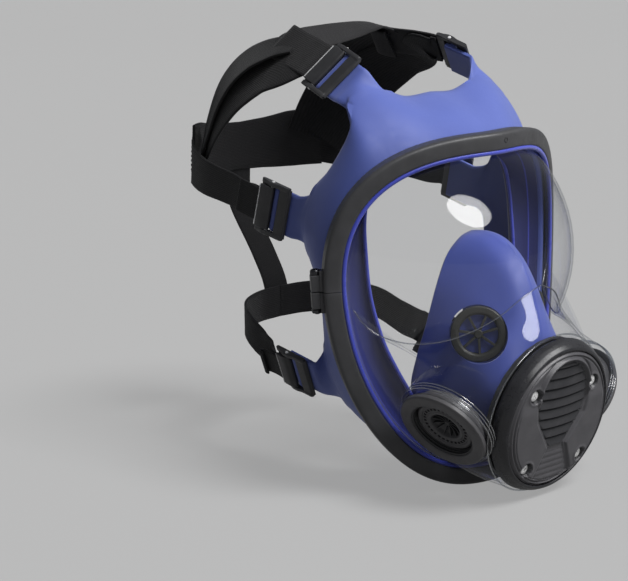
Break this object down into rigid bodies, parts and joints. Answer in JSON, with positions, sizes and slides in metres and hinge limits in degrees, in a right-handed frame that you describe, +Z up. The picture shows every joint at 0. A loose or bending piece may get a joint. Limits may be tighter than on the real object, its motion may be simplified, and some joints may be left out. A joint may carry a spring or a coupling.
{
  "type": "full face respirator",
  "caption": "Full face respirator: blue silicone face blank, clear wide visor in a clamped rim, round front voice and exhalation housing, side ports, nose cup and a buckled strap harness.",
  "frame": {"origin": "centre of the bounding box of the whole mask with its harness", "axes": "+X to the wearer's left, +Y to the back of the head (the visor faces -Y), +Z up"},
  "size_m": [0.2108, 0.2869, 0.2629],
  "materials": {
    "blue_silicone": "soft translucent blue moulded silicone, satin",
    "clear_polycarbonate": "clear moulded polycarbonate, glossy",
    "black_plastic": "black moulded plastic, fine satin",
    "black_satin": "black moulded plastic, soft sheen",
    "black_rubber": "black rubber, matt",
    "grey_film": "thin grey film, satin",
    "screw_steel": "bright plated steel",
    "clear_valve": "thin pale silicone valve disc",
    "black_webbing": "black woven elastic webbing"
  },
  "bodies": {
    "mask": {"cover_screw_1": "screw_steel", "cover_screw_2": "screw_steel", "cover_screw_3": "screw_steel", "cover_screw_4": "screw_steel", "cup_valve_seat_L": "black_plastic", "cup_valve_seat_R": "black_plastic", "diaphragm_ring": "black_plastic", "exhale_seat": "black_plastic", "face_blank": "blue_silicone", "filter_washer_L": "black_rubber", "filter_washer_R": "black_rubber", "front_cover": "black_satin", "front_gasket": "black_rubber", "front_housing": "black_plastic", "harness_back_band": "black_webbing", "housing_lock_ring": "black_plastic", "inhale_seat_L": "black_plastic", "inhale_seat_R": "black_plastic", "nose_cup": "blue_silicone", "port_body_L": "black_satin", "port_body_R": "black_satin", "port_gasket_L": "black_rubber", "port_gasket_R": "black_rubber", "port_grille_L": "black_plastic", "port_grille_R": "black_plastic", "rim_lower": "black_satin", "rim_nut_L": "screw_steel", "rim_nut_R": "screw_steel", "rim_screw_L": "screw_steel", "rim_screw_R": "screw_steel", "rim_upper": "black_satin", "strap_crown": "black_webbing", "strap_lower_L": "black_webbing", "strap_lower_R": "black_webbing", "strap_spine": "black_webbing", "strap_temple_L": "black_webbing", "strap_temple_R": "black_webbing", "strap_top_L": "black_webbing", "strap_top_R": "black_webbing", "visor": "clear_polycarbonate"},
    "exhale_flap": {"exhale_flap": "black_rubber"},
    "speech_diaphragm": {"speech_diaphragm": "grey_film"},
    "inhale_flap_R": {"inhale_flap_R": "black_rubber"},
    "inhale_flap_L": {"inhale_flap_L": "black_rubber"},
    "cup_valve_flap_R": {"cup_valve_flap_R": "clear_valve"},
    "cup_valve_flap_L": {"cup_valve_flap_L": "clear_valve"},
    "buckle_top_R": {"buckle_top_R": "black_plastic"},
    "buckle_cam_top_R": {"buckle_cam_top_R": "black_plastic"},
    "buckle_top_L": {"buckle_top_L": "black_plastic"},
    "buckle_cam_top_L": {"buckle_cam_top_L": "black_plastic"},
    "buckle_temple_R": {"buckle_temple_R": "black_plastic"},
    "buckle_cam_temple_R": {"buckle_cam_temple_R": "black_plastic"},
    "buckle_temple_L": {"buckle_temple_L": "black_plastic"},
    "buckle_cam_temple_L": {"buckle_cam_temple_L": "black_plastic"},
    "buckle_lower_R": {"buckle_lower_R": "black_plastic"},
    "buckle_cam_lower_R": {"buckle_cam_lower_R": "black_plastic"},
    "buckle_lower_L": {"buckle_lower_L": "black_plastic"},
    "buckle_cam_lower_L": {"buckle_cam_lower_L": "black_plastic"}
  },
  "joints": [
    {"name": "exhale_lift", "type": "slide", "parent": "mask", "child": "exhale_flap", "axis": [0, -0.9829, -0.184], "range_m": [0, 0.002]},
    {"name": "diaphragm_travel", "type": "slide", "parent": "mask", "child": "speech_diaphragm", "axis": [0, -0.9829, -0.184], "range_m": [-0.0003, 0.0003]},
    {"name": "inhale_lift_R", "type": "slide", "parent": "mask", "child": "inhale_flap_R", "axis": [0.8292, 0.0909, 0.5515], "range_m": [0, 0.0015]},
    {"name": "inhale_lift_L", "type": "slide", "parent": "mask", "child": "inhale_flap_L", "axis": [-0.8292, 0.0909, 0.5515], "range_m": [0, 0.0015]},
    {"name": "cup_valve_lift_R", "type": "slide", "parent": "mask", "child": "cup_valve_flap_R", "axis": [0.7217, 0.6816, -0.1203], "range_m": [0, 0.0015]},
    {"name": "cup_valve_lift_L", "type": "slide", "parent": "mask", "child": "cup_valve_flap_L", "axis": [-0.7217, 0.6816, -0.1203], "range_m": [0, 0.0015]},
    {"name": "buckle_swing_top_R", "type": "hinge", "parent": "mask", "child": "buckle_top_R", "pos_m": [-0.05559, -0.01328, 0.11013], "axis": [0.6536, -0.3247, 0.6837], "range_deg": [0, 35]},
    {"name": "cam_swing_top_R", "type": "hinge", "parent": "buckle_top_R", "child": "buckle_cam_top_R", "pos_m": [-0.05524, -0.00071, 0.11576], "axis": [0.6536, -0.3247, 0.6837], "range_deg": [0, 50]},
    {"name": "buckle_swing_top_L", "type": "hinge", "parent": "mask", "child": "buckle_top_L", "pos_m": [0.05559, -0.01328, 0.11013], "axis": [0.6536, 0.3247, -0.6837], "range_deg": [0, 35]},
    {"name": "cam_swing_top_L", "type": "hinge", "parent": "buckle_top_L", "child": "buckle_cam_top_L", "pos_m": [0.05524, -0.00071, 0.11576], "axis": [0.6536, 0.3247, -0.6837], "range_deg": [0, 50]},
    {"name": "buckle_swing_temple_R", "type": "hinge", "parent": "mask", "child": "buckle_temple_R", "pos_m": [-0.0798, 0.00935, 0.02962], "axis": [0.0331, -0.2207, 0.9748], "range_deg": [0, 35]},
    {"name": "cam_swing_temple_R", "type": "hinge", "parent": "buckle_temple_R", "child": "buckle_cam_temple_R", "pos_m": [-0.08274, 0.02246, 0.03268], "axis": [0.0331, -0.2207, 0.9748], "range_deg": [0, 50]},
    {"name": "buckle_swing_temple_L", "type": "hinge", "parent": "mask", "child": "buckle_temple_L", "pos_m": [0.0798, 0.00935, 0.02962], "axis": [0.0331, 0.2207, -0.9748], "range_deg": [0, 35]},
    {"name": "cam_swing_temple_L", "type": "hinge", "parent": "buckle_temple_L", "child": "buckle_cam_temple_L", "pos_m": [0.08274, 0.02246, 0.03268], "axis": [0.0331, 0.2207, -0.9748], "range_deg": [0, 50]},
    {"name": "buckle_swing_lower_R", "type": "hinge", "parent": "mask", "child": "buckle_lower_R", "pos_m": [-0.06169, 0.00944, -0.0733], "axis": [-0.4983, -0.2403, 0.8331], "range_deg": [0, 35]},
    {"name": "cam_swing_lower_R", "type": "hinge", "parent": "buckle_lower_R", "child": "buckle_cam_lower_R", "pos_m": [-0.06466, 0.02273, -0.07125], "axis": [-0.4983, -0.2403, 0.8331], "range_deg": [0, 50]},
    {"name": "buckle_swing_lower_L", "type": "hinge", "parent": "mask", "child": "buckle_lower_L", "pos_m": [0.06169, 0.00944, -0.0733], "axis": [-0.4983, 0.2403, -0.8331], "range_deg": [0, 35]},
    {"name": "cam_swing_lower_L", "type": "hinge", "parent": "buckle_lower_L", "child": "buckle_cam_lower_L", "pos_m": [0.06466, 0.02273, -0.07125], "axis": [-0.4983, 0.2403, -0.8331], "range_deg": [0, 50]}
  ]
}
